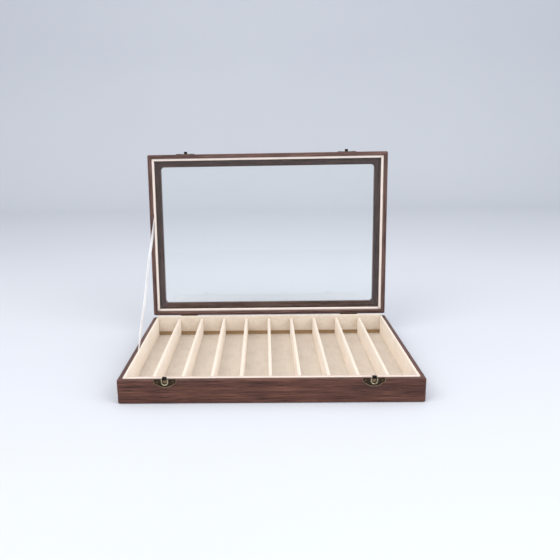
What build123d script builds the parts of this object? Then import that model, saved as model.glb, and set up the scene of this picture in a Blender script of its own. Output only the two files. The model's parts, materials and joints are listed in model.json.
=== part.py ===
from build123d import *
import os
from math import atan2, cos, degrees, radians, sin

# Hairpin storage case: a velvet-lined base with ten compartments and a hinged glass lid.
# Millimetres. The origin is the middle of the underside, +Z is up and the front faces -Y.
# Every lid piece is drawn with the lid shut and then swung open about the hinge pins.

# Case
case_width = 350.0
case_depth = 240.0
base_height = 29.0
lid_height = 15.0
lid_open_angle = 94.0
rim_gap = 0.2
corner_radius = 2.2
edge_radius = 1.5
rim_edge_radius = 0.5

# Base
base_wall = 5.7
felt_thickness = 0.5
felt_inset = 2.5
board_thickness = 1.6
pad_thickness = 0.8
pad_edge_clearance = 0.3
base_liner_thickness = 3.5
liner_lip = 1.5
back_liner_lip = 4.0
back_lip_end_clearance = 1.5
back_liner_lift = 6.0
liner_edge_radius = 1.2

# Dividers
divider_count = 9
divider_thickness = 4.4
divider_drop = 0.6
divider_edge_radius = 1.5

# Lid
lid_wall = 5.2
frame_thickness = 6.5
frame_border = 18.0
window_corner_radius = 4.5
glass_thickness = 2.0
glass_edge_clearance = 0.5
lid_liner_thickness = 4.0
lip_clearance = 0.5

# Hinges
hinge_inset = 54.0
hinge_length = 25.0
leaf_height = 11.0
leaf_thickness = 0.8
knuckle_radius = 1.6
knuckle_wall_clearance = 0.2
knuckle_end_clearance = 0.2
knuckle_notch_clearance = 0.4
hinge_pin_radius = 0.75
hinge_pin_clearance = 0.05
hinge_pin_head = 0.6
hinge_pin_head_radius = 1.2
stop_ear_thickness = 1.0
stop_ear_reach = 8.0
stop_ear_depth = 1.4
stop_clearance = 0.05

# Screws of the hinges
screws_per_leaf = 3
screw_spacing = 8.0
screw_inset = 3.6
screw_radius = 0.9
screw_length = 4.2
screw_head_radius = 1.7
screw_slot_width = 0.4
screw_slot_depth = 0.35
fastener_clearance = 0.05

# Latches
left_latch_inset = 55.5
right_latch_inset = 59.0
latch_plate_width = 26.5
latch_plate_height = 10.0
latch_plate_side = 3.8
latch_plate_toe = 14.2
latch_plate_toe_drop = 1.6
latch_plate_thickness = 0.7
latch_border_width = 0.8
latch_border_height = 0.3
latch_plate_rise = 1.4
latch_barrel_radius = 2.0
latch_barrel_length = 4.7
latch_barrel_standoff = 0.35
latch_barrel_rise = 3.2
latch_neck_lap = 1.5
loop_wire_radius = 0.65
loop_wire_clearance = 0.05
loop_bend_radius = 3.55
loop_leg = 4.5
hook_plate_clearance = 0.4
hook_loop_clearance = 0.45
hook_swing_clearance = 0.25
hook_wire_clearance = 0.3
hook_thickness = 0.9
hook_play = 1.2
hook_notch_clearance = 0.6

# Nails of the latches
nail_spacing = 18.4
nail_drop = 3.9
nail_radius = 0.6
nail_length = 4.5
nail_head_radius = 1.3
nail_head_height = 0.6

# Ribbon
ribbon_reach = 144.0
ribbon_width = 6.0
ribbon_thickness = 0.35
ribbon_wall_clearance = 0.05
ribbon_slot_clearance = 0.1
ribbon_end_clearance = 0.8

# Levels and places worked out from the sizes above
half_width = case_width / 2
half_depth = case_depth / 2
board_top = felt_thickness + board_thickness
floor_level = board_top + pad_thickness
lip_top = base_height + liner_lip
back_lip_top = base_height + back_liner_lip
lid_rim = base_height + rim_gap
lid_top = lid_rim + lid_height
glass_top = lid_top - frame_thickness
glass_bottom = glass_top - glass_thickness
hinge_offset = knuckle_radius + knuckle_wall_clearance
hinge_y = half_depth + hinge_offset
hinge_z = base_height + rim_gap / 2
hinge_axis = Axis((0, hinge_y, hinge_z), (1, 0, 0))
barrel_y = -half_depth - latch_barrel_standoff - latch_barrel_radius
barrel_z = base_height + latch_barrel_rise
latch_plate_top = base_height + latch_plate_rise
hook_plate_bottom = latch_plate_top + hook_plate_clearance
cut_margin = 5.0

pieces = {}


def open_lid(shape):
    """Swing a piece of the shut lid to where it rests open."""
    return shape.rotate(hinge_axis, -lid_open_angle)


def block(x_min, x_max, y_min, y_max, z_min, z_max):
    """A box given by its lowest and highest corners."""
    size = (x_max - x_min, y_max - y_min, z_max - z_min)
    centre = ((x_min + x_max) / 2, (y_min + y_max) / 2, (z_min + z_max) / 2)
    return Pos(*centre) * Box(*size)


def centred_block(width, depth, z_min, z_max):
    """A box centred on the case in plan."""
    return block(-width / 2, width / 2, -depth / 2, depth / 2, z_min, z_max)


def rod(start, direction, radius, length):
    """A round rod that starts at a point and runs along a direction."""
    return extrude(Plane(origin=start, z_dir=direction) * Circle(radius), length)


def cone(start, direction, start_radius, end_radius, length):
    """A tapered rod, as under a countersunk head."""
    plane = Plane(origin=start, z_dir=direction)
    return loft([plane * Circle(start_radius), plane.offset(length) * Circle(end_radius)])


def mitre_wedge(side, reach):
    """The part of the plan that belongs to one side of a frame mitred at 45 degrees."""
    outer_x = half_width + cut_margin
    outer_y = half_depth + cut_margin
    inner_x = half_width - reach
    inner_y = half_depth - reach
    if side in ("front", "back"):
        outline = [(-outer_x, -outer_y), (outer_x, -outer_y), (inner_x, -inner_y), (-inner_x, -inner_y)]
    else:
        outline = [(-outer_x, -outer_y), (-inner_x, -inner_y), (-inner_x, inner_y), (-outer_x, outer_y)]
    wedge = Pos(0, 0, -cut_margin) * extrude(make_face(Polyline(*outline, close=True)), lid_top + 2 * cut_margin)
    if side in ("back", "right"):
        wedge = wedge.rotate(Axis.Z, 180)
    return wedge


def mitred(ring, reach):
    """Cut a rectangular ring into its four sides."""
    return {side: ring & mitre_wedge(side, reach) for side in ("front", "back", "left", "right")}


# Base frame

def make_base_rails():
    """Four walls with rounded outer edges, mitred where they meet."""
    body = centred_block(case_width, case_depth, felt_thickness, base_height)
    body = fillet(body.edges().filter_by(Axis.Z), corner_radius)
    body = fillet(body.faces().sort_by(Axis.Z)[-1].edges() + body.faces().sort_by(Axis.Z)[0].edges(), edge_radius)
    hollow = centred_block(case_width - 2 * base_wall, case_depth - 2 * base_wall, 0, base_height + cut_margin)
    ring = body - hollow
    inner_rim = ring.faces().sort_by(Axis.Z)[-1].inner_wires()[0].edges()
    ring = fillet(inner_rim, rim_edge_radius)
    return mitred(ring, base_wall + cut_margin)


def make_floor():
    """The board between the walls, the felt under it and the velvet pad on it."""
    inner_width = case_width - 2 * base_wall
    inner_depth = case_depth - 2 * base_wall
    pieces["bottom_board"] = centred_block(inner_width, inner_depth, felt_thickness, board_top)
    felt_width = case_width - 2 * felt_inset
    felt_depth = case_depth - 2 * felt_inset
    felt = centred_block(felt_width, felt_depth, 0, felt_thickness)
    pieces["underside_felt"] = fillet(felt.edges().filter_by(Axis.Z), corner_radius)
    pad_width = inner_width - 2 * pad_edge_clearance
    pad_depth = inner_depth - 2 * pad_edge_clearance
    pieces["floor_pad"] = centred_block(pad_width, pad_depth, board_top, floor_level)


def make_liner(side, wall, thickness, rim_z, far_z):
    """A velvet-covered board against one wall, rounded along its rim and mitred at its ends."""
    outer_x = half_width - wall
    outer_y = half_depth - wall
    z_min, z_max = sorted((rim_z, far_z))
    boards = {
        "front": block(-outer_x, outer_x, -outer_y, thickness - outer_y, z_min, z_max),
        "back": block(-outer_x, outer_x, outer_y - thickness, outer_y, z_min, z_max),
        "left": block(-outer_x, thickness - outer_x, -outer_y, outer_y, z_min, z_max),
        "right": block(outer_x - thickness, outer_x, -outer_y, outer_y, z_min, z_max),
    }
    radius = min(liner_edge_radius, 0.4 * thickness, 0.4 * (z_max - z_min))
    long_edges = boards[side].edges().filter_by(Axis.X if side in ("front", "back") else Axis.Y)
    rim_edges = long_edges.filter_by(lambda edge: abs(edge.center().Z - rim_z) < radius)
    return fillet(rim_edges, radius) & mitre_wedge(side, wall + thickness + cut_margin)


def make_base_liners():
    """Liners that stand proud of the rim; the back one stands higher and stops short of the floor."""
    liners = {}
    for side in ("front", "left", "right"):
        liners[side] = make_liner(side, base_wall, base_liner_thickness, lip_top, floor_level)
    back = make_liner("back", base_wall, base_liner_thickness, back_lip_top, floor_level + back_liner_lift)
    above_lips = centred_block(case_width, case_depth, lip_top, lid_top)
    wedge = mitre_wedge("back", base_wall + base_liner_thickness + cut_margin)
    between_lid_liners = Pos(0, back_lip_end_clearance, 0) * wedge
    liners["back"] = back - (above_lips - between_lid_liners)
    return liners


def make_dividers():
    """Velvet-covered boards from front to back, evenly spaced."""
    inner_width = case_width - 2 * (base_wall + base_liner_thickness)
    inner_depth = case_depth - 2 * (base_wall + base_liner_thickness)
    pitch = (inner_width + divider_thickness) / (divider_count + 1)
    divider = centred_block(divider_thickness, inner_depth, floor_level, base_height - divider_drop)
    top_edges = divider.faces().sort_by(Axis.Z)[-1].edges().filter_by(Axis.Y)
    divider = fillet(top_edges, min(divider_edge_radius, 0.45 * divider_thickness))
    for index in range(divider_count):
        x = pitch * (index - (divider_count - 1) / 2)
        pieces[f"divider_{index + 1}"] = Pos(x, 0, 0) * divider


# Lid frame

def make_lid_rails():
    """Rebated rails around the glass, mitred where they meet."""
    body = centred_block(case_width, case_depth, lid_rim, lid_top)
    body = fillet(body.edges().filter_by(Axis.Z), corner_radius)
    body = fillet(body.faces().sort_by(Axis.Z)[-1].edges() + body.faces().sort_by(Axis.Z)[0].edges(), edge_radius)
    rebate = centred_block(case_width - 2 * lid_wall, case_depth - 2 * lid_wall, 0, glass_top)
    window_width = case_width - 2 * frame_border
    window_depth = case_depth - 2 * frame_border
    window = centred_block(window_width, window_depth, lid_rim, lid_top + cut_margin)
    window = fillet(window.edges().filter_by(Axis.Z), window_corner_radius)
    ring = body - rebate - window
    window_edges = ring.faces().sort_by(Axis.Z)[-1].inner_wires()[0].edges()
    ring = fillet(window_edges, rim_edge_radius)
    inner_rim = ring.faces().sort_by(Axis.Z)[0].inner_wires()[0].edges()
    ring = fillet(inner_rim, rim_edge_radius)
    return mitred(ring, frame_border + cut_margin)


def make_glass():
    """The pane that lies in the rebate of the lid frame."""
    edge = lid_wall + glass_edge_clearance
    pieces["glass_pane"] = centred_block(case_width - 2 * edge, case_depth - 2 * edge, glass_bottom, glass_top)


def make_lid_liners():
    """Strips that hold the glass, set back from the rim to let the base lip in."""
    liners = {}
    for side in ("front", "back", "left", "right"):
        lip = back_lip_top if side == "back" else lip_top
        liners[side] = make_liner(side, lid_wall, lid_liner_thickness, lip + lip_clearance, glass_bottom)
    return liners


# Hinges

screw_head_depth = screw_head_radius - screw_radius


def make_screw(point, inward):
    """A countersunk screw with a slotted head flush with its leaf."""
    head = cone(point, inward, screw_head_radius, screw_radius, screw_head_depth)
    shank = rod(point, inward, screw_radius, screw_length)
    slot_middle = Vector(*point) + Vector(*inward) * (screw_slot_depth / 2)
    slot = Pos(*slot_middle) * Box(3 * screw_head_radius, screw_slot_depth, screw_slot_width)
    return head + shank - slot


def make_screw_hole(point, inward):
    """The countersunk hole that a screw sits in, a clearance larger all round."""
    gap = fastener_clearance
    mouth = cone(point, inward, screw_head_radius + gap, screw_radius + gap, screw_head_depth)
    return mouth + rod(point, inward, screw_radius + gap, screw_length + gap)


def screw_points(side_x, direction):
    """Where the screws of one leaf enter; direction is -1 for the base leaf and 1 for the lid leaf."""
    z = hinge_z + direction * (leaf_height - screw_inset)
    y = half_depth + leaf_thickness
    middle = (screws_per_leaf - 1) / 2
    return [(side_x + screw_spacing * (index - middle), y, z) for index in range(screws_per_leaf)]


def knuckle_spans():
    """Start and end of the three knuckles along the pin, from the hinge's middle."""
    knuckle = hinge_length / 3
    gap = knuckle_end_clearance / 2
    outer = hinge_length / 2
    return [(-outer, -outer + knuckle - gap), (-knuckle / 2 + gap, knuckle / 2 - gap), (outer - knuckle + gap, outer)]


def make_stop_ear(x_start):
    """A gusset behind the base leaf that the lid leaf comes down on when the lid is open."""
    swing = radians(lid_open_angle)
    along = Vector(0, sin(swing), cos(swing))
    outward = Vector(0, cos(swing), -sin(swing))
    centre = Vector(x_start, hinge_y, hinge_z)
    top = outward * (leaf_thickness - hinge_offset + stop_clearance)
    near_top = centre + top
    far_top = centre + top + along * stop_ear_reach
    far_bottom = far_top + outward * stop_ear_depth
    foot_top = Vector(x_start, half_depth + leaf_thickness / 2, hinge_z - knuckle_radius)
    foot_bottom = Vector(x_start, half_depth + leaf_thickness / 2, hinge_z - leaf_height + leaf_thickness)
    outline = Polyline(near_top, far_top, far_bottom, foot_bottom, foot_top, close=True)
    return extrude(make_face(outline), stop_ear_thickness, dir=(1, 0, 0))


def make_leaf(side_x, direction, own_knuckles, ears=()):
    """A leaf on the back face with its knuckles; the others' knuckles are notched out of it."""
    plate_end = hinge_z + direction * leaf_height
    z_min, z_max = sorted((hinge_z, plate_end))
    half_length = hinge_length / 2
    y_out = half_depth + leaf_thickness
    leaf = block(side_x - half_length, side_x + half_length, half_depth, y_out, z_min, z_max)
    corner_edges = leaf.edges().filter_by(Axis.Y)
    corner_edges = corner_edges.filter_by(lambda edge: abs(edge.center().Z - plate_end) < leaf_thickness)
    leaf = fillet(corner_edges, leaf_thickness)
    notch_radius = knuckle_radius + knuckle_notch_clearance
    spans = knuckle_spans()
    for index, (start, end) in enumerate(spans):
        origin = (side_x + start, hinge_y, hinge_z)
        if index in own_knuckles:
            leaf += rod(origin, (1, 0, 0), knuckle_radius, end - start)
        else:
            gap = knuckle_end_clearance
            notch_origin = (side_x + start - gap, hinge_y, hinge_z)
            leaf -= rod(notch_origin, (1, 0, 0), notch_radius, end - start + 2 * gap)
    for ear in ears:
        leaf += ear
    bore_origin = (side_x - hinge_length, hinge_y, hinge_z)
    leaf -= rod(bore_origin, (1, 0, 0), hinge_pin_radius + hinge_pin_clearance, 2 * hinge_length)
    for point in screw_points(side_x, direction):
        leaf -= make_screw_hole(point, (0, -1, 0))
    return leaf


def make_hinge_pin(side_x):
    """A pin with a flat head at each end of the knuckles."""
    half_length = hinge_length / 2
    pin = rod((side_x - half_length, hinge_y, hinge_z), (1, 0, 0), hinge_pin_radius, hinge_length)
    pin += rod((side_x + half_length, hinge_y, hinge_z), (1, 0, 0), hinge_pin_head_radius, hinge_pin_head)
    pin += rod((side_x - half_length, hinge_y, hinge_z), (-1, 0, 0), hinge_pin_head_radius, hinge_pin_head)
    return pin


def make_hinges(base_back_rail, lid_back_rail):
    """Both hinges with their screws; returns the two rails with the screw holes in them."""
    base_screws = []
    lid_screws = []
    for name, side_x in (("left", hinge_inset - half_width), ("right", half_width - hinge_inset)):
        last_ear_x = side_x + hinge_length / 2 - stop_ear_thickness
        ears = [make_stop_ear(ear_x) for ear_x in (side_x - hinge_length / 2, last_ear_x)]
        pieces[f"hinge_{name}_base_leaf"] = make_leaf(side_x, -1, own_knuckles=(0, 2), ears=ears)
        pieces[f"hinge_{name}_lid_leaf"] = open_lid(make_leaf(side_x, 1, own_knuckles=(1,)))
        pieces[f"hinge_{name}_pin"] = make_hinge_pin(side_x)
        for point in screw_points(side_x, -1):
            base_screws.append(make_screw(point, (0, -1, 0)))
            base_back_rail -= make_screw_hole(point, (0, -1, 0))
        for point in screw_points(side_x, 1):
            lid_screws.append(open_lid(make_screw(point, (0, -1, 0))))
            lid_back_rail -= make_screw_hole(point, (0, -1, 0))
    pieces["hinge_base_screws"] = Compound(base_screws)
    pieces["hinge_lid_screws"] = Compound(lid_screws)
    return base_back_rail, lid_back_rail


# Latches

def plate_face(direction, inset):
    """The shield outline of a latch plate on the front face, straight edge at z 0."""
    half = latch_plate_width / 2 - inset
    toe = latch_plate_toe / 2 - inset / 2
    side_z = direction * latch_plate_side
    toe_z = direction * (latch_plate_height - latch_plate_toe_drop - inset)
    tip_z = direction * (latch_plate_height - inset)
    sides = Polyline((-toe, toe_z), (-half, side_z), (-half, 0), (half, 0), (half, side_z), (toe, toe_z))
    return make_face(sides + ThreePointArc((toe, toe_z), (0, tip_z), (-toe, toe_z)))


def make_plate(direction):
    """A latch plate with a raised border, its back on the front face at x 0 and z 0."""
    front_face = Plane(origin=(0, -half_depth, 0), x_dir=(1, 0, 0), z_dir=(0, -1, 0))
    plate = extrude(front_face * plate_face(direction, 0), latch_plate_thickness)
    border = plate_face(direction, 0) - plate_face(direction, latch_border_width)
    return plate + extrude(front_face * border, latch_plate_thickness + latch_border_height)


def nail_points(side_x, edge_z, direction):
    """Where the two nails of a latch plate enter."""
    z = edge_z + direction * nail_drop
    y = -half_depth - latch_plate_thickness
    return [(side_x - nail_spacing / 2, y, z), (side_x + nail_spacing / 2, y, z)]


def make_nail(point):
    """A nail with a domed head that sits on the plate."""
    shank = rod(point, (0, 1, 0), nail_radius, nail_length)
    dome_radius = (nail_head_radius ** 2 + nail_head_height ** 2) / (2 * nail_head_height)
    centre = (point[0], point[1] + dome_radius - nail_head_height, point[2])
    dome = Pos(*centre) * Sphere(dome_radius)
    in_front = rod(point, (0, -1, 0), nail_head_radius, 2 * nail_head_height)
    return shank + (dome & in_front)


def make_nail_hole(point):
    """The hole for a nail through the plate and into the rail."""
    return rod(point, (0, 1, 0), nail_radius + fastener_clearance, nail_length + fastener_clearance)


def make_latch_plate(side_x):
    """The plate on the base, with the barrel that the loop turns in."""
    plate = Pos(side_x, 0, latch_plate_top) * make_plate(-1)
    half_length = latch_barrel_length / 2
    plate += rod((side_x - half_length, barrel_y, barrel_z), (1, 0, 0), latch_barrel_radius, latch_barrel_length)
    neck_back = -half_depth - latch_barrel_standoff
    neck_front = neck_back - latch_plate_thickness
    neck_bottom = latch_plate_top - latch_neck_lap
    plate += block(side_x - half_length, side_x + half_length, neck_front, neck_back, neck_bottom, barrel_z)
    bore_start = (side_x - latch_barrel_length, barrel_y, barrel_z)
    plate -= rod(bore_start, (1, 0, 0), loop_wire_radius + loop_wire_clearance, 2 * latch_barrel_length)
    for point in nail_points(side_x, latch_plate_top, -1):
        plate -= make_nail_hole(point)
    return plate


def make_latch_loop(side_x):
    """A closed wire loop: a bar through the barrel, two legs and a round bend."""
    wire = Pos(side_x, barrel_y, barrel_z) * Pos(-loop_bend_radius, 0, 0) * Sphere(loop_wire_radius)
    wire += Pos(side_x, barrel_y, barrel_z) * Pos(loop_bend_radius, 0, 0) * Sphere(loop_wire_radius)
    bar_start = (side_x - loop_bend_radius, barrel_y, barrel_z)
    wire += rod(bar_start, (1, 0, 0), loop_wire_radius, 2 * loop_bend_radius)
    bend_z = barrel_z - loop_leg
    for leg_x in (side_x - loop_bend_radius, side_x + loop_bend_radius):
        wire += rod((leg_x, barrel_y, barrel_z), (0, 0, -1), loop_wire_radius, loop_leg)
    section = Plane(origin=(side_x + loop_bend_radius, barrel_y, bend_z), z_dir=(0, 0, 1)) * Circle(loop_wire_radius)
    bend_axis = Axis((side_x, barrel_y, bend_z), (0, 1, 0))
    wire += revolve(section, bend_axis, 180)
    return wire


def make_latch_hook(side_x):
    """The plate on the lid, with the upturned tongue that the loop closes over."""
    edge_z = hook_plate_bottom
    plate = Pos(side_x, 0, edge_z) * make_plate(1)
    notch_half = latch_barrel_length / 2 + hook_notch_clearance
    notch_top = barrel_z + latch_barrel_radius + hook_notch_clearance
    notch_front = -half_depth - cut_margin
    plate -= block(side_x - notch_half, side_x + notch_half, notch_front, -half_depth, edge_z - cut_margin, notch_top)
    for point in nail_points(side_x, edge_z, 1):
        plate -= make_nail_hole(point)

    loop_inner = loop_bend_radius - loop_wire_radius
    tongue_half = loop_inner - hook_loop_clearance
    bend_z = barrel_z + loop_leg
    lip_top_z = bend_z + tongue_half
    ledge_top = bend_z + loop_inner - hook_play
    ledge_bottom = ledge_top - hook_thickness
    lip_y = barrel_y - loop_wire_radius - hook_wire_clearance
    front_y = lip_y - hook_thickness
    tongue = block(side_x - tongue_half, side_x + tongue_half, front_y, -half_depth, ledge_bottom, ledge_top)
    tongue += block(side_x - tongue_half, side_x + tongue_half, front_y, lip_y, ledge_bottom, lip_top_z)
    rounded_end = rod((side_x, front_y - cut_margin, bend_z), (0, 1, 0), tongue_half, 3 * cut_margin)
    square_root = block(side_x - tongue_half, side_x + tongue_half, front_y, -half_depth, lid_rim, bend_z)
    swing_start = (side_x - tongue_half, barrel_y, barrel_z)
    loop_swing = rod(swing_start, (1, 0, 0), loop_leg + loop_inner - hook_swing_clearance, 2 * tongue_half)
    return plate + (tongue & (rounded_end + square_root) & loop_swing)


def make_latches(base_front_rail, lid_front_rail):
    """Both latches with their nails; returns the two rails with the nail holes in them."""
    plate_nails = []
    hook_nails = []
    for name, side_x in (("left", left_latch_inset - half_width), ("right", half_width - right_latch_inset)):
        pieces[f"{name}_latch_plate"] = make_latch_plate(side_x)
        pieces[f"{name}_latch_loop"] = make_latch_loop(side_x)
        pieces[f"{name}_latch_hook"] = open_lid(make_latch_hook(side_x))
        for point in nail_points(side_x, latch_plate_top, -1):
            plate_nails.append(make_nail(point))
            base_front_rail -= make_nail_hole(point)
        for point in nail_points(side_x, hook_plate_bottom, 1):
            hook_nails.append(open_lid(make_nail(point)))
            lid_front_rail -= make_nail_hole(point)
    pieces["latch_plate_nails"] = Compound(plate_nails)
    pieces["latch_hook_nails"] = Compound(hook_nails)
    return base_front_rail, lid_front_rail


# Ribbon

def make_ribbon(clearance):
    """A straight ribbon between base and lid, tucked behind both left liners."""
    half_swing = radians(180 - lid_open_angle) / 2
    lid_depth_free = glass_bottom - hinge_z - ribbon_end_clearance
    tuck = (lid_depth_free - ribbon_width / 2 * cos(half_swing)) / sin(half_swing)
    swing = radians(lid_open_angle)
    base_anchor = Vector(0, hinge_y - ribbon_reach, hinge_z)
    lid_anchor = Vector(0, hinge_y - ribbon_reach * cos(swing), hinge_z + ribbon_reach * sin(swing))
    span = lid_anchor - base_anchor
    middle = (lid_anchor + base_anchor) * 0.5
    length = span.length + 2 * tuck
    wall_x = -half_width + max(base_wall, lid_wall)
    x = wall_x + ribbon_wall_clearance + ribbon_thickness / 2
    size = (ribbon_thickness + 2 * clearance, ribbon_width + 2 * clearance, length + 2 * clearance)
    tilt = -degrees(atan2(span.Y, span.Z))
    return Pos(x, middle.Y, middle.Z) * Rot(tilt, 0, 0) * Box(*size)


# Assembly

base_rails = make_base_rails()
lid_rails = make_lid_rails()
base_rails["back"], lid_rails["back"] = make_hinges(base_rails["back"], lid_rails["back"])
base_rails["front"], lid_rails["front"] = make_latches(base_rails["front"], lid_rails["front"])
base_liners = make_base_liners()
lid_liners = make_lid_liners()
make_floor()
make_dividers()
make_glass()
pieces["glass_pane"] = open_lid(pieces["glass_pane"])
ribbon_slot = make_ribbon(ribbon_slot_clearance)
for side in ("front", "back", "left", "right"):
    pieces[f"base_{side}_rail"] = base_rails[side]
    pieces[f"base_{side}_liner"] = base_liners[side]
    pieces[f"lid_{side}_rail"] = open_lid(lid_rails[side])
    pieces[f"lid_{side}_liner"] = open_lid(lid_liners[side])
pieces["base_left_liner"] -= ribbon_slot
pieces["lid_left_liner"] -= ribbon_slot
pieces["ribbon_stay"] = make_ribbon(0)

os.makedirs("parts", exist_ok=True)
for name, piece in pieces.items():
    export_step(piece, f"parts/{name}.step")
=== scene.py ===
import json
from math import asin, cos, pi, radians, sin

import bpy
from mathutils import Matrix, Vector, noise


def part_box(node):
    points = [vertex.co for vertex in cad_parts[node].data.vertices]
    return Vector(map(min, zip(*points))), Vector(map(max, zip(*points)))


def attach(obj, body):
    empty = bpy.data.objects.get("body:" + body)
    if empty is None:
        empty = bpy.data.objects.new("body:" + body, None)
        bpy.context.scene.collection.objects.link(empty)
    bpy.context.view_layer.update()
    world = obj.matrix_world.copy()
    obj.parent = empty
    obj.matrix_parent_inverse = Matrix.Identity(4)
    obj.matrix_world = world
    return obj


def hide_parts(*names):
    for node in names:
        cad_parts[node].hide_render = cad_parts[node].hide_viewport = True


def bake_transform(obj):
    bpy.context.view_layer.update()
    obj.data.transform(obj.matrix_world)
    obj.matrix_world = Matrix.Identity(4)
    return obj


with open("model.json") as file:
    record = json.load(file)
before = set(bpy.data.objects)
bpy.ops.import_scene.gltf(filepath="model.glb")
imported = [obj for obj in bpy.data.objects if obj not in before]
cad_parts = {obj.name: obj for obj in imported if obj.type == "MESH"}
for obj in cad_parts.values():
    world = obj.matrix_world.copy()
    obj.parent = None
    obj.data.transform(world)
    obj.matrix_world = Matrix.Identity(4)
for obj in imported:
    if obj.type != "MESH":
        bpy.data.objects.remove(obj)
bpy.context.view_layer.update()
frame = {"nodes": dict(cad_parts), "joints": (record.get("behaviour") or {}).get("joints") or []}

# Metres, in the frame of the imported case: +Z up, the front faces -Y, the lid stands open.
MM = 0.001
nodes = frame["nodes"]


def srgb(red, green, blue):
    """A colour given as 0 to 255 sRGB values, as linear numbers with full alpha."""
    linear = []
    for value in (red, green, blue):
        share = value / 255
        linear.append(share / 12.92 if share <= 0.04045 else ((share + 0.055) / 1.055) ** 2.4)
    return (*linear, 1.0)


# Camera, as the photograph was taken
camera_place = Vector((-0.0044, -0.7496, 0.3002))
camera_angles = (76.47, 1.01, 1.33)
camera_lens = 38.55
camera_shift = (0.0547, -0.0062)
sensor_width = 36.0
nearest_seen = 10 * MM

# Light: the sky all round, and softboxes with name, place, size, power and colour
sky_colour = (0.93, 0.96, 1.0)
sky_strength = 0.92
softboxes = (
    ("key", Vector((-0.9, -0.9, 1.5)), 1.2, 19.0, (1.0, 0.97, 0.94)),
    ("fill", Vector((1.2, -0.9, 1.1)), 1.4, 18.0, (0.97, 0.98, 1.0)),
    ("top", Vector((0.1, 0.2, 1.9)), 1.2, 5.0, (1.0, 0.94, 0.86)),
)
light_aim = Vector((0, 0, 0.08))

# The lid's hinge axis, and how far the lid has swung from shut
lid_hinge = next(joint for joint in frame["joints"] if joint["name"] == "lid_hinge")
hinge_point = Vector(lid_hinge["pos_m"])
lid_swing = radians(max(lid_hinge["range_deg"]))
lid_turn = Matrix.Rotation(-lid_swing, 4, "X")
lid_open = Matrix.Translation(hinge_point) @ lid_turn @ Matrix.Translation(-hinge_point)
base_still = Matrix.Identity(4)

# Wood foil: dark, middle and light tone of the grain on the base and on the lid; the lid's tones are
# lighter and greyer, a painted reflection
base_wood = (srgb(52, 28, 21), srgb(81, 48, 38), srgb(108, 70, 56))
lid_wood_painted_reflection = (srgb(58, 40, 36), srgb(87, 62, 56), srgb(117, 88, 80))
pore_colour = srgb(34, 19, 15)
# Painted highlight: the paler tone that the foil's edges are blended to
edge_highlight_colour = srgb(128, 96, 84)
bare_colour = srgb(178, 150, 114)

# How much longer than wide the grain is, and the way on the foil from one rail's piece to the next
grain_stretch = 26
foil_step = (0.31, 0.17, 0.23)

# Where the back wall shows bare wood: in front of this y and below this z
bare_strip = (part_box("base_back_liner")[1].y + 0.1 * MM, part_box("base_back_liner")[0].z + 2 * MM)

# Velvet: pile, its shade, and a darker tone for upward-facing tops, which is painted shade
board_pile = srgb(240, 229, 216)
board_pile_shade = srgb(232, 219, 205)
# Darker tones for upward-facing tops: painted shade
board_top_painted_shade = srgb(219, 207, 193)
front_top_painted_shade = srgb(191, 173, 165)
# The back wall's velvet is a darker copy of the board velvet: painted shade
back_pile = srgb(209, 197, 183)
back_pile_shade = srgb(198, 184, 168)
# The lid's velvet is a darker copy of the board velvet: painted shade
lid_pile = srgb(225, 213, 205)
lid_pile_shade = srgb(218, 205, 196)
# The floor's velvet is a darker copy of the board velvet: painted shade
floor_pile = srgb(212, 202, 190)
floor_pile_shade = srgb(203, 192, 180)

# Velvet over board: roundings, how far the cloth draws in, its ripples, and the mesh's steps
velvet_round = 1.2 * MM
velvet_foot_round = 0.35 * MM
divider_round = 1.5 * MM
velvet_draw = 0.22 * MM
velvet_ripple = 0.16 * MM
ripple_length = 14 * MM
board_step = 3.0 * MM
end_step = 0.4 * MM
end_turn = 1.0 * MM
end_draw = 0.3 * MM
edge_points = 5
sharp_angle = radians(40)

# Numbers that shift the ripples from board to board; the dividers take 1 and up
base_seed = 20
lid_seed = 30

# The top of the front and side liners, and how far the higher back liner's ends stand in above it
side_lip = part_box("base_left_liner")[1].z
raised_end = 1.5 * MM
divider_count = sum(name.startswith("divider_") for name in nodes)

# Floor pad: waves, and how deep and how far it is pressed down beside a divider
pad_step = 2.4 * MM
pad_wave = 0.1 * MM
pad_wave_length = 26 * MM
pad_press = 0.12 * MM
pad_press_reach = 5 * MM

# Underside felt
felt_step = 3.0 * MM
felt_corner = 2.2 * MM

# Ribbon: its section as shares of half its width and thickness, and the slot behind the liners
ribbon_width = 6.0 * MM
ribbon_thickness = 0.3 * MM
ribbon_section = (
    (-1, -0.6), (-0.9, -1), (0, -0.8), (0.9, -1), (1, -0.6),
    (1, 0.6), (0.9, 1), (0, 0.8), (-0.9, 1), (-1, 0.6),
)
ribbon_slot = 0.3 * MM
slot_margin = 1.5 * MM
slot_slope = 2 * MM

# Ribbon: the flat tucked ends, the turn between them, and its flutter and sway
ribbon_step = 2.5 * MM
ribbon_tuck = 8 * MM
ribbon_turn_length = 26 * MM
ribbon_twist = radians(20)
ribbon_low_twist = 0.6
ribbon_flutter = radians(3)
ribbon_flutter_length = 70 * MM
ribbon_sway = 0.4 * MM
ribbon_sway_length = 110 * MM

# Levels on the latch plates: between field and border, and above the border
plate_field = 0.85 * MM
plate_rim = 1.1 * MM

# How sharply the plates' levels part, and the spot that the hanging loop rubs bright
level_blend = 0.05 * MM
rubbed_core = 2.0 * MM
rubbed_reach = 3.6 * MM


# Shader nodes

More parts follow.
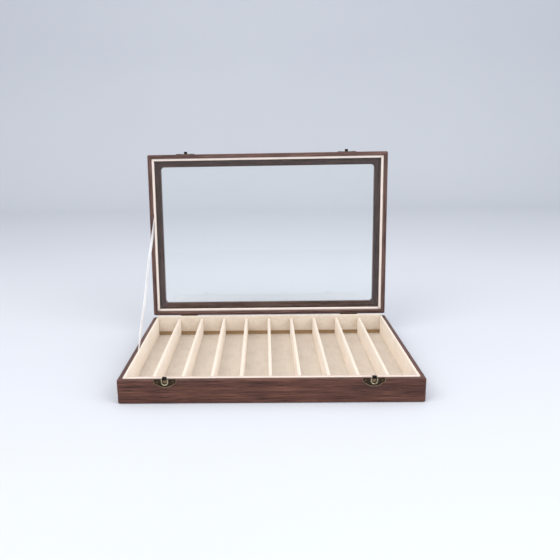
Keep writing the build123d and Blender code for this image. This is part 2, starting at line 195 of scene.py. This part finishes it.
class Shader:
    """A node material, built one node at a time."""

    def __init__(self, name):
        self.material = bpy.data.materials.new(name)
        self.material.use_nodes = True
        self.tree = self.material.node_tree
        self.tree.nodes.clear()
        self.place = self.node("TexCoord").outputs["Object"]

    def node(self, kind, inputs=None, **settings):
        """Adds a node, with its settings and its inputs, which are values or other nodes' sockets."""
        node = self.tree.nodes.new("ShaderNode" + kind)
        for key, value in settings.items():
            setattr(node, key, value)
        for key, value in (inputs or {}).items():
            self.fill(node.inputs[key], value)
        return node

    def fill(self, socket, value):
        """Links another node's socket, or sets a value."""
        if isinstance(value, bpy.types.NodeSocket):
            self.tree.links.new(value, socket)
        else:
            socket.default_value = value

    def stretched(self, scale, turn=(0, 0, 0), shift=(0, 0, 0)):
        """The object's own coordinates, turned, and with features longer by scale."""
        inputs = {"Vector": self.place, "Location": shift, "Rotation": turn, "Scale": scale}
        return self.node("Mapping", inputs, vector_type="TEXTURE").outputs["Vector"]

    def noise(self, vector, size, detail=2.0, roughness=0.5, distortion=0.0):
        """Noise whose features are about size across."""
        inputs = {"Vector": vector, "Scale": 1 / size, "Detail": detail, "Roughness": roughness,
                  "Distortion": distortion}
        return self.node("TexNoise", inputs).outputs["Fac"]

    def cells(self, vector, size):
        """Distance from the middle of cells of that size."""
        return self.node("TexVoronoi", {"Vector": vector, "Scale": 1 / size}).outputs["Distance"]

    def ranged(self, value, low, high, to_low=0.0, to_high=1.0):
        """A value moved from one range to another and kept inside it."""
        inputs = {"Value": value, "From Min": low, "From Max": high}
        inputs |= {"To Min": to_low, "To Max": to_high}
        return self.node("MapRange", inputs, interpolation_type="SMOOTHSTEP").outputs["Result"]

    def calculate(self, operation, first, second=0.0):
        """The result of a Math node."""
        node = self.node("Math", operation=operation)
        self.fill(node.inputs[0], first)
        self.fill(node.inputs[1], second)
        return node.outputs["Value"]

    def measure(self, operation, first, second):
        """The number that a VectorMath node gives for two vectors."""
        node = self.node("VectorMath", operation=operation)
        self.fill(node.inputs[0], first)
        self.fill(node.inputs[1], second)
        return node.outputs["Value"]

    def blend(self, share, first, second):
        """Two colours mixed by share."""
        node = self.node("Mix", data_type="RGBA", blend_type="MIX")
        self.fill(node.inputs[0], share)
        self.fill(node.inputs[6], first)
        self.fill(node.inputs[7], second)
        return node.outputs[2]

    def bump(self, height, depth, normal=None):
        """The normal bent by a height map whose full range is depth."""
        inputs = {"Height": height, "Distance": depth, "Strength": 1.0}
        if normal is not None:
            inputs["Normal"] = normal
        return self.node("Bump", inputs).outputs["Normal"]

    def worn_and_highlit_edges(self, radius):
        """1 on edges and 0 on flat faces."""
        rounded = self.node("Bevel", {"Radius": radius}, samples=4).outputs["Normal"]
        flat = self.node("NewGeometry").outputs["Normal"]
        return self.ranged(self.measure("DOT_PRODUCT", rounded, flat), 0.995, 0.85)

    def bare_share(self, limits):
        """1 where the place lies in front of limits' y and below its z, and 0 elsewhere."""
        y_limit, z_limit = limits
        place = self.node("SeparateXYZ", {"Vector": self.place})
        in_front = self.calculate("LESS_THAN", place.outputs["Y"], y_limit)
        below = self.calculate("LESS_THAN", place.outputs["Z"], z_limit)
        return self.calculate("MULTIPLY", in_front, below)

    def finish(self, inputs):
        """Ends the material in one Principled shader and gives it back."""
        surface = self.node("BsdfPrincipled", inputs).outputs["BSDF"]
        self.node("OutputMaterial", {"Surface": surface})
        return self.material


# Materials

def wood_wrap(name, tones, scale, turn=(0, 0, 0), shift=(0, 0, 0), bare=None):
    """Walnut-grain foil over pale wood, which shows in front of bare's y and below its z."""
    shader = Shader(name)
    grain = shader.stretched(scale, turn, shift)
    bands = shader.noise(grain, 4.5 * MM, detail=3.0, roughness=0.55, distortion=0.5)
    streaks = shader.noise(grain, 1.1 * MM, detail=4.0, roughness=0.65)
    pores = shader.noise(grain, 0.45 * MM, detail=2.0)
    wide = shader.calculate("MULTIPLY", bands, 0.38)
    tone = shader.calculate("ADD", wide, shader.calculate("MULTIPLY", streaks, 0.62))
    dark, middle, light = tones
    colour = shader.blend(shader.ranged(tone, 0.38, 0.5), dark, middle)
    colour = shader.blend(shader.ranged(tone, 0.49, 0.63), colour, light)
    pore_share = shader.ranged(pores, 0.36, 0.28)
    colour = shader.blend(shader.calculate("MULTIPLY", pore_share, 0.5), colour, pore_colour)
    # The foil's edges are lightened: painted highlight
    edges = shader.calculate("MULTIPLY", shader.worn_and_highlit_edges(0.5 * MM), 0.2)
    colour = shader.blend(edges, colour, edge_highlight_colour)
    if bare is not None:
        colour = shader.blend(shader.bare_share(bare), colour, bare_colour)
    relief = shader.calculate("SUBTRACT", streaks, shader.calculate("MULTIPLY", pore_share, 0.6))
    return shader.finish({
        "Base Color": colour,
        "Roughness": shader.ranged(streaks, 0.3, 0.7, 0.26, 0.4),
        "Normal": shader.bump(relief, 0.05 * MM),
        "Specular IOR Level": 0.3,
    })


def velvet(name, colour, shade, top_painted_shade=None):
    """Short pile: cloudy patches, fine grain and sheen; upward-facing surfaces may be darkened as
    painted shade.
    """
    shader = Shader(name)
    clouds = shader.noise(shader.place, 22 * MM, detail=2.0, roughness=0.5)
    brushed = shader.noise(shader.stretched((1, 6, 1)), 3.5 * MM, detail=2.0)
    pile = shader.noise(shader.place, 0.35 * MM, detail=2.0, roughness=0.7)
    cloud_part = shader.calculate("MULTIPLY", clouds, 0.6)
    brushed_part = shader.calculate("MULTIPLY", brushed, 0.4)
    lay = shader.calculate("ADD", cloud_part, brushed_part)
    tone = shader.blend(shader.ranged(lay, 0.3, 0.6), shade, colour)
    tone = shader.blend(shader.ranged(pile, 0.5, 0.3, 0.0, 0.3), tone, shade)
    # Upward-facing surfaces blend to a darker tone: painted shade on the tops
    if top_painted_shade is not None:
        facing = shader.node("SeparateXYZ", {"Vector": shader.node("NewGeometry").outputs["Normal"]})
        tone = shader.blend(shader.ranged(facing.outputs["Z"], 0.3, 0.95), tone, top_painted_shade)
    return shader.finish({
        "Base Color": tone,
        "Roughness": 0.85,
        "Specular IOR Level": 0.2,
        "Sheen Weight": 0.25,
        "Sheen Roughness": 0.4,
        "Sheen Tint": srgb(255, 244, 232),
        "Normal": shader.bump(pile, 0.08 * MM, shader.bump(clouds, 0.1 * MM)),
    })


def antique_brass(name, dark, bright, face_plane=None, rubbed_spot=None):
    """Brass with dark patina, rubbed bright along edges, on a plate's border and round a spot.

    face_plane gives the way a plate faces, and along it the levels above the field and the border."""
    shader = Shader(name)
    mottled = shader.noise(shader.place, 1.6 * MM, detail=4.0, roughness=0.6)
    fine = shader.noise(shader.place, 0.3 * MM, detail=2.0)
    rubbed = shader.worn_and_highlit_edges(0.3 * MM)
    if face_plane is not None:
        direction, field, rim = face_plane
        height = shader.measure("DOT_PRODUCT", shader.place, direction)
        above = shader.ranged(height, field, field + level_blend)
        beyond = shader.ranged(height, rim, rim + level_blend)
        rubbed = shader.calculate("MAXIMUM", rubbed, above)
        if rubbed_spot is not None:
            distance = shader.measure("DISTANCE", shader.place, rubbed_spot)
            spot = shader.ranged(distance, rubbed_reach, rubbed_core)
            rubbed = shader.calculate("MAXIMUM", rubbed, spot)
        rubbed = shader.calculate("SUBTRACT", rubbed, beyond)
    wear = shader.calculate("MULTIPLY", rubbed, shader.ranged(mottled, 0.25, 0.6, 0.35, 1.0))
    patina = shader.blend(shader.ranged(mottled, 0.35, 0.75), dark, srgb(70, 52, 34))
    # Parts that stand out beyond the border are made near-black
    if face_plane is not None:
        patina = shader.blend(beyond, patina, srgb(16, 13, 10))
    return shader.finish({
        "Base Color": shader.blend(wear, patina, bright),
        "Metallic": shader.ranged(wear, 0.0, 1.0, 0.75, 1.0),
        "Roughness": shader.ranged(mottled, 0.3, 0.7, 0.34, 0.55),
        "Normal": shader.bump(fine, 0.03 * MM),
    })


def clear_glass(name):
    """Float glass with a very faint waviness and a few fine smears."""
    shader = Shader(name)
    waves = shader.noise(shader.place, 60 * MM, detail=1.0)
    smears = shader.noise(shader.stretched((1, 4, 4)), 12 * MM, detail=4.0, roughness=0.6)
    return shader.finish({
        "Base Color": srgb(253, 255, 254),
        "Roughness": shader.ranged(smears, 0.5, 0.8, 0.0, 0.04),
        "IOR": 1.45,
        "Transmission Weight": 1.0,
        "Normal": shader.bump(waves, 0.02 * MM),
    })


def satin(name):
    """White satin ribbon: fine ribs across it and a brighter selvedge along both edges."""
    shader = Shader(name)
    flat = shader.node("TexCoord").outputs["UV"]
    sides = shader.node("SeparateXYZ", {"Vector": flat})
    along = sides.outputs["X"]
    across = sides.outputs["Y"]
    ribs = shader.calculate("SINE", shader.calculate("MULTIPLY", along, 2 * pi / (0.45 * MM)))
    from_middle = shader.calculate("ABSOLUTE", shader.calculate("SUBTRACT", across, 0.5))
    selvedge = shader.ranged(from_middle, 0.4, 0.46)
    lustre = shader.noise(shader.place, 18 * MM, detail=1.0)
    tone = shader.blend(shader.ranged(lustre, 0.3, 0.7), srgb(220, 220, 221), srgb(236, 236, 237))
    tone = shader.blend(selvedge, tone, srgb(245, 245, 246))
    return shader.finish({
        "Base Color": tone,
        "Roughness": 0.38,
        "Sheen Weight": 0.3,
        "Anisotropic": 0.5,
        "Subsurface Weight": 0.2,
        "Subsurface Radius": (0.002, 0.002, 0.002),
        "Normal": shader.bump(ribs, 0.01 * MM),
    })


def felt(name):
    """Pressed felt: matted fibres, dark, with no pattern."""
    shader = Shader(name)
    fibres = shader.noise(shader.place, 0.5 * MM, detail=5.0, roughness=0.75, distortion=2.0)
    clouds = shader.noise(shader.place, 15 * MM, detail=2.0)
    tone = shader.blend(shader.ranged(fibres, 0.35, 0.65), srgb(30, 27, 26), srgb(66, 60, 57))
    tone = shader.blend(shader.ranged(clouds, 0.3, 0.7, 0.0, 0.35), tone, srgb(48, 43, 41))
    return shader.finish({
        "Base Color": tone,
        "Roughness": 0.95,
        "Specular IOR Level": 0.15,
        "Sheen Weight": 0.3,
        "Normal": shader.bump(fibres, 0.2 * MM),
    })


def hardboard(name):
    """Raw hardboard: brown, with short fibres pressed flat."""
    shader = Shader(name)
    fibres = shader.noise(shader.place, 0.8 * MM, detail=6.0, roughness=0.7, distortion=1.5)
    specks = shader.cells(shader.place, 2.5 * MM)
    tone = shader.blend(shader.ranged(fibres, 0.35, 0.65), srgb(98, 70, 46), srgb(146, 112, 78))
    tone = shader.blend(shader.ranged(specks, 0.18, 0.1), tone, srgb(72, 50, 34))
    return shader.finish({
        "Base Color": tone,
        "Roughness": shader.ranged(fibres, 0.3, 0.7, 0.6, 0.8),
        "Normal": shader.bump(fibres, 0.05 * MM),
    })


def pale_paint(name):
    """The floor and backdrop: matt, pale, with a hint of unevenness."""
    shader = Shader(name)
    clouds = shader.noise(shader.place, 0.6, detail=2.0)
    return shader.finish({
        "Base Color": shader.blend(clouds, srgb(197, 200, 208), srgb(203, 206, 212)),
        "Roughness": 0.6,
        "Specular IOR Level": 0.2,
    })


# Meshes

def new_mesh(name, points, faces, material):
    """A smooth-shaded mesh object from points in the frame."""
    mesh = bpy.data.meshes.new(name)
    mesh.from_pydata([tuple(point) for point in points], [], faces)
    mesh.validate()
    mesh.polygons.foreach_set("use_smooth", [True] * len(mesh.polygons))
    mesh.set_sharp_from_angle(angle=sharp_angle)
    mesh.materials.append(material)
    obj = bpy.data.objects.new(name, mesh)
    bpy.context.scene.collection.objects.link(obj)
    return obj


def local_box(node, placement):
    """Lowest and highest corner of a CAD node before placement moves it to where it stands."""
    back = placement.inverted()
    points = [back @ vertex.co for vertex in nodes[node].data.vertices]
    low = Vector([min(point[axis] for point in points) for axis in range(3)])
    high = Vector([max(point[axis] for point in points) for axis in range(3)])
    return low, high


def arc_points(centre, radius, start, end):
    """Points of an arc about centre, start and end in quarter turns."""
    turns = [start + (end - start) * step / edge_points for step in range(edge_points + 1)]
    angles = [quarters * pi / 2 for quarters in turns]
    return [(centre[0] + radius * cos(angle), centre[1] + radius * sin(angle)) for angle in angles]


def line_points(start, end, count):
    """Points strictly between two points."""
    pairs = list(zip(start, end))
    return [tuple(a + (b - a) * step / count for a, b in pairs) for step in range(1, count)]


def board_profile(width, height, top_round, foot_round):
    """Outline of a covered board's section: rounded well at the top, a little at the foot."""
    bottom_right = arc_points((width - foot_round, foot_round), foot_round, -1, 0)
    top_right = arc_points((width - top_round, height - top_round), top_round, 0, 1)
    top_left = arc_points((top_round, height - top_round), top_round, 1, 2)
    bottom_left = arc_points((foot_round, foot_round), foot_round, 2, 3)
    side_count = max(2, round(height / board_step))
    outline = bottom_right + line_points(bottom_right[-1], top_right[0], side_count) + top_right
    outline += line_points(top_right[-1], top_left[0], 2) + top_left
    outline += line_points(top_left[-1], bottom_left[0], side_count) + bottom_left
    return outline


def drawn_in(point, width, height):
    """The section's point with the sides drawn in towards top and foot, where the cloth turns."""
    across, up = point
    edge = abs(2 * up / height - 1) ** 3
    side = 1 - 2 * across / width
    return across + side * edge * velvet_draw, up


def ripple(point, seed):
    """How far the cloth lies below its highest level at a point, from 0 to velvet_ripple."""
    where = point / ripple_length + Vector((seed * 7.3, seed * 3.1, seed * 5.7))
    return velvet_ripple * (0.5 + 0.5 * noise.noise(where))


def tube_faces(rings, count):
    """Faces of a tube of rings with count points each, capped at both ends."""
    faces = []
    for ring in range(rings - 1):
        for index in range(count):
            near = ring * count + index
            near_next = ring * count + (index + 1) % count
            faces.append((near, near_next, near_next + count, near + count))
    last = (rings - 1) * count
    faces.append(tuple(reversed(range(count))))
    faces.append(tuple(range(last, last + count)))
    return faces


def covered_board(name, rows, material, seed):
    """A closed soft mesh from rows of section points, each given with its inward direction."""
    points = []
    for row in rows:
        for point, inward in row:
            points.append(point + inward * ripple(point, seed))
    return new_mesh(name, points, tube_faces(len(rows), len(rows[0])), material)


def stations(length):
    """Shares from -1 to 1 along a board, closer together towards the ends."""
    steps = max(8, round(length / board_step))
    inner = [-1 + 2 * step / steps for step in range(steps + 1)]
    close = end_step / (length / 2)
    first = [inner[0], -1 + close, -1 + 3 * close]
    last = [1 - 3 * close, 1 - close, inner[-1]]
    return first + inner[1:-1] + last


def end_pull(share, length):
    """How much the section shrinks at a station, where the cloth turns over the board's end."""
    from_end = (1 - abs(share)) * length / 2
    if from_end >= end_turn:
        return 0.0
    return end_draw * (1 - cos(asin(1 - from_end / end_turn)))


def section_rows(outline, width, height, length, place):
    """Rows of a board's section from end to end; place turns (share, across, up) into a point."""
    count = len(outline)
    drawn = [drawn_in(point, width, height) for point in outline]
    rows = []
    for share in stations(length):
        pull = end_pull(share, length)
        row = []
        for index, (across, up) in enumerate(drawn):
            before = drawn[index - 1]
            after = drawn[(index + 1) % count]
            tangent = Vector((after[0] - before[0], after[1] - before[1])).normalized()
            inward = Vector((-tangent.y, tangent.x))
            here = place(share, across + inward.x * pull, up + inward.y * pull)
            deeper = place(share, across + inward.x * MM, up + inward.y * MM)
            row.append((here, (deeper - here).normalized()))
        rows.append(row)
    return rows


# Velvet-covered boards

def wall_place(side, low, high, rim_up):
    """Gives place(share, across, up), a point along a board, off its wall and towards its rim."""
    direction = 1 if rim_up else -1
    foot = low.z if rim_up else high.z

    def place(share, across, up):
        z = foot + direction * up
        run = share * direction
        if side == "front":
            return Vector((run * (high.x - across), low.y + across, z))
        if side == "back":
            above_lip = min(1.0, max(0.0, (z - side_lip + MM) / MM))
            inset = raised_end * above_lip if rim_up else 0.0
            return Vector((-run * (high.x - across - inset), high.y - across, z))
        if side == "left":
            return Vector((low.x + across, -run * (high.y - across), z))
        return Vector((high.x - across, run * (high.y - across), z))

    return place


def make_liner(body, side, placement, rim_up, material, seed):
    """The velvet board against one wall of the base or the lid."""
    node = f"{body}_{side}_liner"
    low, high = local_box(node, placement)
    size = high - low
    runs_along_x = side in ("front", "back")
    width = size.y if runs_along_x else size.x
    length = size.x if runs_along_x else size.y
    outline = board_profile(width, size.z, velvet_round, velvet_foot_round)
    place = wall_place(side, low, high, rim_up)
    rows = section_rows(outline, width, size.z, length, place)
    board = covered_board(f"{node}_velvet", rows, material, seed)
    board.data.transform(placement)
    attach(board, body)
    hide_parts(node)
    return board


def make_divider(index, material):
    """One velvet-covered divider, its cloth turned over both ends."""
    node = f"divider_{index}"
    low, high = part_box(node)
    size = high - low
    middle = (low + high) / 2
    outline = board_profile(size.x, size.z, divider_round, velvet_foot_round)

    def place(share, across, up):
        return Vector((low.x + across, middle.y - share * size.y / 2, low.z + up))

    rows = section_rows(outline, size.x, size.z, size.y, place)
    divider = covered_board(f"{node}_velvet", rows, material, index)
    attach(divider, "base")
    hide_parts(node)


def make_sheet(name, node, material, step, relief, corner_round):
    """A closed flat sheet in a CAD node's box, its top lower than the box's by relief(x, y)."""
    low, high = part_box(node)
    columns = round((high.x - low.x) / step)
    rows = round((high.y - low.y) / step)
    points = []
    for face in ("top", "bottom"):
        for row in range(rows + 1):
            for column in range(columns + 1):
                x = low.x + (high.x - low.x) * column / columns
                y = low.y + (high.y - low.y) * row / rows
                x, y = rounded_corner(x, y, low, high, corner_round)
                z = high.z - relief(x, y) if face == "top" else low.z
                points.append((x, y, z))
    across = columns + 1
    bottom = across * (rows + 1)
    faces = []
    for row in range(rows):
        for column in range(columns):
            near = row * across + column
            under = bottom + near
            faces.append((near, near + 1, near + across + 1, near + across))
            faces.append((under, under + across, under + across + 1, under + 1))
    for column in range(columns):
        faces.append((column, bottom + column, bottom + column + 1, column + 1))
        far = rows * across + column
        faces.append((far, far + 1, bottom + far + 1, bottom + far))
    for row in range(rows):
        left = row * across
        faces.append((left, left + across, bottom + left + across, bottom + left))
        right = left + columns
        faces.append((right, bottom + right, bottom + right + across, right + across))
    return new_mesh(name, points, faces, material)


def rounded_corner(x, y, low, high, radius):
    """Moves a point near a corner of the sheet onto the rounded corner."""
    for corner_x, sign_x in ((low.x, 1), (high.x, -1)):
        for corner_y, sign_y in ((low.y, 1), (high.y, -1)):
            offset_x = radius - sign_x * (x - corner_x)
            offset_y = radius - sign_y * (y - corner_y)
            if radius > 0 and offset_x > 0 and offset_y > 0:
                reach = max(offset_x, offset_y)
                shrink = reach / Vector((offset_x, offset_y)).length
                x = corner_x + sign_x * (radius - offset_x * shrink)
                y = corner_y + sign_y * (radius - offset_y * shrink)
    return x, y


def make_floor_pad(material):
    """The velvet-covered floor, pressed down where the dividers stand on it."""
    feet = [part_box(f"divider_{index}") for index in range(1, divider_count + 1)]
    middles = [(low.x + high.x) / 2 for low, high in feet]

    def relief(x, y):
        nearest = min(abs(x - middle) for middle in middles)
        press = pad_press * max(0.0, 1 - nearest / pad_press_reach) ** 2
        wave = noise.noise(Vector((x, y, 0)) / pad_wave_length)
        return pad_wave + press + pad_wave * wave

    pad = make_sheet("floor_pad_velvet", "floor_pad", material, pad_step, relief, 0.0)
    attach(pad, "base")
    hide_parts("floor_pad")


def make_underside_felt(material):
    """The felt that the case stands on, glued flat, with rounded corners."""

    def relief(x, y):
        return 0.0

    name = "underside_felt_sheet"
    sheet = make_sheet(name, "underside_felt", material, felt_step, relief, felt_corner)
    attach(sheet, "base")
    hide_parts("underside_felt")


# Ribbon

def ribbon_line():
    """The ribbon's two ends, from its CAD node: a straight strip in an upright plane."""
    corners = [vertex.co.copy() for vertex in nodes["ribbon_stay"].data.vertices]
    climb = Vector((0, 1, 1))
    reach = [corner.dot(climb) for corner in corners]
    middle_reach = (min(reach) + max(reach)) / 2
    ends = []
    for above in (False, True):
        group = [corner for corner, value in zip(corners, reach) if (value > middle_reach) == above]
        low = Vector([min(corner[axis] for corner in group) for axis in range(3)])
        high = Vector([max(corner[axis] for corner in group) for axis in range(3)])
        ends.append((low + high) / 2)
    return ends


def make_ribbon(material):
    """A satin ribbon, tucked in flat at both ends and turned towards the front between them."""
    start, end = ribbon_line()
    along = (end - start).normalized()
    length = (end - start).length
    outward = Vector((-1, 0, 0))
    flat_across = along.cross(outward)
    steps = round(length / ribbon_step)
    points = []
    for step in range(steps + 1):
        distance = length * step / steps
        from_end = min(distance, length - distance)
        rise = min(1.0, max(0.0, (from_end - ribbon_tuck) / ribbon_turn_length))
        twist_share = ribbon_low_twist + (1 - ribbon_low_twist) * distance / length
        angle = ribbon_twist * rise * rise * (3 - 2 * rise) * twist_share
        angle += ribbon_flutter * rise * sin(2 * pi * distance / ribbon_flutter_length)
        sway = ribbon_sway * rise * sin(2 * pi * distance / ribbon_sway_length)
        across = flat_across * cos(angle) + outward * sin(angle)
        through = along.cross(across)
        middle = start + along * distance + outward * sway
        for wide, thick in ribbon_section:
            beside = across * (wide * ribbon_width / 2)
            points.append(middle + beside + through * (thick * ribbon_thickness / 2))
    count = len(ribbon_section)
    ribbon = new_mesh("ribbon_stay_satin", points, tube_faces(steps + 1, count), material)
    layer = ribbon.data.uv_layers.new(name="flat")
    for loop in ribbon.data.loops:
        step, index = divmod(loop.vertex_index, count)
        layer.data[loop.index].uv = (length * step / steps, (ribbon_section[index][0] + 1) / 2)
    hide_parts("ribbon_stay")
    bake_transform(ribbon)
    return start, end


def open_ribbon_slot(board, start, end):
    """Presses the back of a velvet board in where the ribbon passes between it and the wall."""
    along = (end - start).normalized()
    reach = ribbon_width / 2 + slot_margin + slot_slope
    for vertex in board.data.vertices:
        offset = vertex.co - start
        beside = offset - along * offset.dot(along)
        sideways = Vector((0, beside.y, beside.z)).length
        slot_depth = start.x + ribbon_slot - vertex.co.x
        if sideways < reach and slot_depth > 0:
            vertex.co.x += slot_depth * min(1.0, (reach - sideways) / slot_slope)


# The scene's surroundings

def make_backdrop(material):
    """A pale floor that curves up into a pale wall well behind the case."""
    width = 3.0
    front = -2.2
    bend_start = 1.6
    bend_radius = 0.7
    bend_steps = 16
    wall_top = 2.6
    line = [(front, 0.0)]
    for step in range(bend_steps + 1):
        angle = pi / 2 * step / bend_steps
        line.append((bend_start + bend_radius * sin(angle), bend_radius * (1 - cos(angle))))
    line.append((bend_start + bend_radius, wall_top))
    points = []
    for y, z in line:
        points += [(-width, y, z), (width, y, z)]
    faces = [(2 * step, 2 * step + 1, 2 * step + 3, 2 * step + 2) for step in range(len(line) - 1)]
    backdrop = new_mesh("backdrop", points, faces, material)


def softbox(name, place, size, power, colour):
    """A square area light that faces the case."""
    light = bpy.data.lights.new(name, "AREA")
    light.shape = "SQUARE"
    light.size = size
    light.energy = power
    light.color = colour
    lamp = bpy.data.objects.new(name, light)
    lamp.location = place
    aim = light_aim - lamp.location
    lamp.rotation_mode = "QUATERNION"
    lamp.rotation_quaternion = aim.to_track_quat("-Z", "Y")
    bpy.context.scene.collection.objects.link(lamp)


def make_light():
    """Soft daylight from all round, with the softboxes."""
    world = bpy.data.worlds.new("daylight")
    world.use_nodes = True
    background = world.node_tree.nodes["Background"]
    background.inputs["Color"].default_value = (*sky_colour, 1.0)
    background.inputs["Strength"].default_value = sky_strength
    bpy.context.scene.world = world
    for name, place, size, power, colour in softboxes:
        softbox(name, place, size, power, colour)
    bpy.context.scene.view_settings.view_transform = "Standard"


def make_camera():
    """A camera placed as the photograph's was."""
    camera = bpy.data.cameras.new("camera")
    camera.sensor_width = sensor_width
    camera.lens = camera_lens
    camera.shift_x, camera.shift_y = camera_shift
    camera.clip_start = nearest_seen
    view = bpy.data.objects.new("camera", camera)
    view.location = camera_place
    view.rotation_euler = [radians(angle) for angle in camera_angles]
    bpy.context.scene.collection.objects.link(view)
    bpy.context.scene.camera = view


# Materials on the CAD nodes

def paint(name, material):
    """Gives a CAD node its material."""
    for slot in nodes[name].material_slots:
        slot.link = "OBJECT"
        slot.material = material


def paint_wood():
    """Grain along every rail, each rail cut from another part of the foil."""
    along_x = (grain_stretch, 1, 1)
    along_y = (1, grain_stretch, 1)
    along_z = (1, 1, grain_stretch)
    upright = (0, 0, 0)
    leaning = (pi / 2 - lid_swing, 0, 0)
    rails = {
        "base_front_rail": (along_x, upright),
        "base_back_rail": (along_x, upright),
        "base_left_rail": (along_y, upright),
        "base_right_rail": (along_y, upright),
        "lid_front_rail": (along_x, leaning),
        "lid_back_rail": (along_x, leaning),
        "lid_left_rail": (along_z, leaning),
        "lid_right_rail": (along_z, leaning),
    }
    for index, (name, (scale, turn)) in enumerate(rails.items()):
        shift = tuple(step * index for step in foil_step)
        bare = bare_strip if name == "base_back_rail" else None
        # The lid's rails take lighter, greyer tones: painted reflection
        tones = lid_wood_painted_reflection if name.startswith("lid") else base_wood
        paint(name, wood_wrap(f"wood_{name}", tones, scale, turn, shift, bare))
    paint("bottom_board", hardboard("hardboard"))
    paint("glass_pane", clear_glass("glass"))


def paint_brass():
    """Dark antique brass, with the plates' raised borders rubbed bright."""
    dark = srgb(38, 29, 20)
    bright = srgb(142, 120, 96)
    plain = antique_brass("antique_brass", dark, srgb(150, 128, 84))
    wire = antique_brass("loop_brass", srgb(190, 180, 152), srgb(236, 230, 208))
    front_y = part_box("base_front_rail")[0].y
    plate_face = (Vector((0, -1, 0)), -front_y + plate_field, -front_y + plate_rim)
    lid_normal = lid_turn.to_3x3() @ Vector((0, -1, 0))
    lid_front = (lid_open @ Vector((0, front_y, hinge_point.z))).dot(lid_normal)
    hook_face = (lid_normal, lid_front + plate_field, lid_front + plate_rim)
    hook = antique_brass("hook_brass", dark, bright, hook_face)
    for side in ("left", "right"):
        loop_low, loop_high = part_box(f"{side}_latch_loop")
        loop_middle = (loop_low + loop_high) / 2
        spot = Vector((loop_middle.x, front_y, loop_middle.z))
        plate = antique_brass(f"{side}_plate_brass", dark, bright, plate_face, spot)
        paint(f"{side}_latch_plate", plate)
        paint(f"{side}_latch_hook", hook)
        paint(f"{side}_latch_loop", wire)
        for part in ("base_leaf", "lid_leaf", "pin"):
            paint(f"hinge_{side}_{part}", plain)
    for name in ("hinge_base_screws", "hinge_lid_screws", "latch_plate_nails", "latch_hook_nails"):
        paint(name, plain)


# The scene, piece by piece

make_camera()
make_light()
make_backdrop(pale_paint("pale_paint"))
paint_wood()
paint_brass()
# The darker tones on upward-facing tops of the boards and the front liner are painted shade
board_velvet = velvet("velvet", board_pile, board_pile_shade, board_top_painted_shade)
front_velvet = velvet("front_velvet", board_pile, board_pile_shade, front_top_painted_shade)
# Darker velvet for the back wall: painted shade
back_velvet = velvet("back_velvet", back_pile, back_pile_shade)
# Darker velvet for the lid's liners: painted shade
lid_velvet = velvet("lid_velvet", lid_pile, lid_pile_shade)
# Darker velvet for the floor: painted shade
floor_velvet_painted_shade = velvet("floor_velvet_painted_shade", floor_pile, floor_pile_shade)
base_velvets = {
    "front": front_velvet,
    "back": back_velvet,
    "left": board_velvet,
    "right": board_velvet,
}
for number in range(1, divider_count + 1):
    make_divider(number, board_velvet)
ribbon_start, ribbon_end = make_ribbon(satin("satin"))
for number, (side_name, base_velvet) in enumerate(base_velvets.items()):
    base_board = make_liner("base", side_name, base_still, True, base_velvet, base_seed + number)
    lid_board = make_liner("lid", side_name, lid_open, False, lid_velvet, lid_seed + number)
    if side_name == "left":
        open_ribbon_slot(base_board, ribbon_start, ribbon_end)
        open_ribbon_slot(lid_board, ribbon_start, ribbon_end)
make_floor_pad(floor_velvet_painted_shade)
make_underside_felt(felt("felt"))
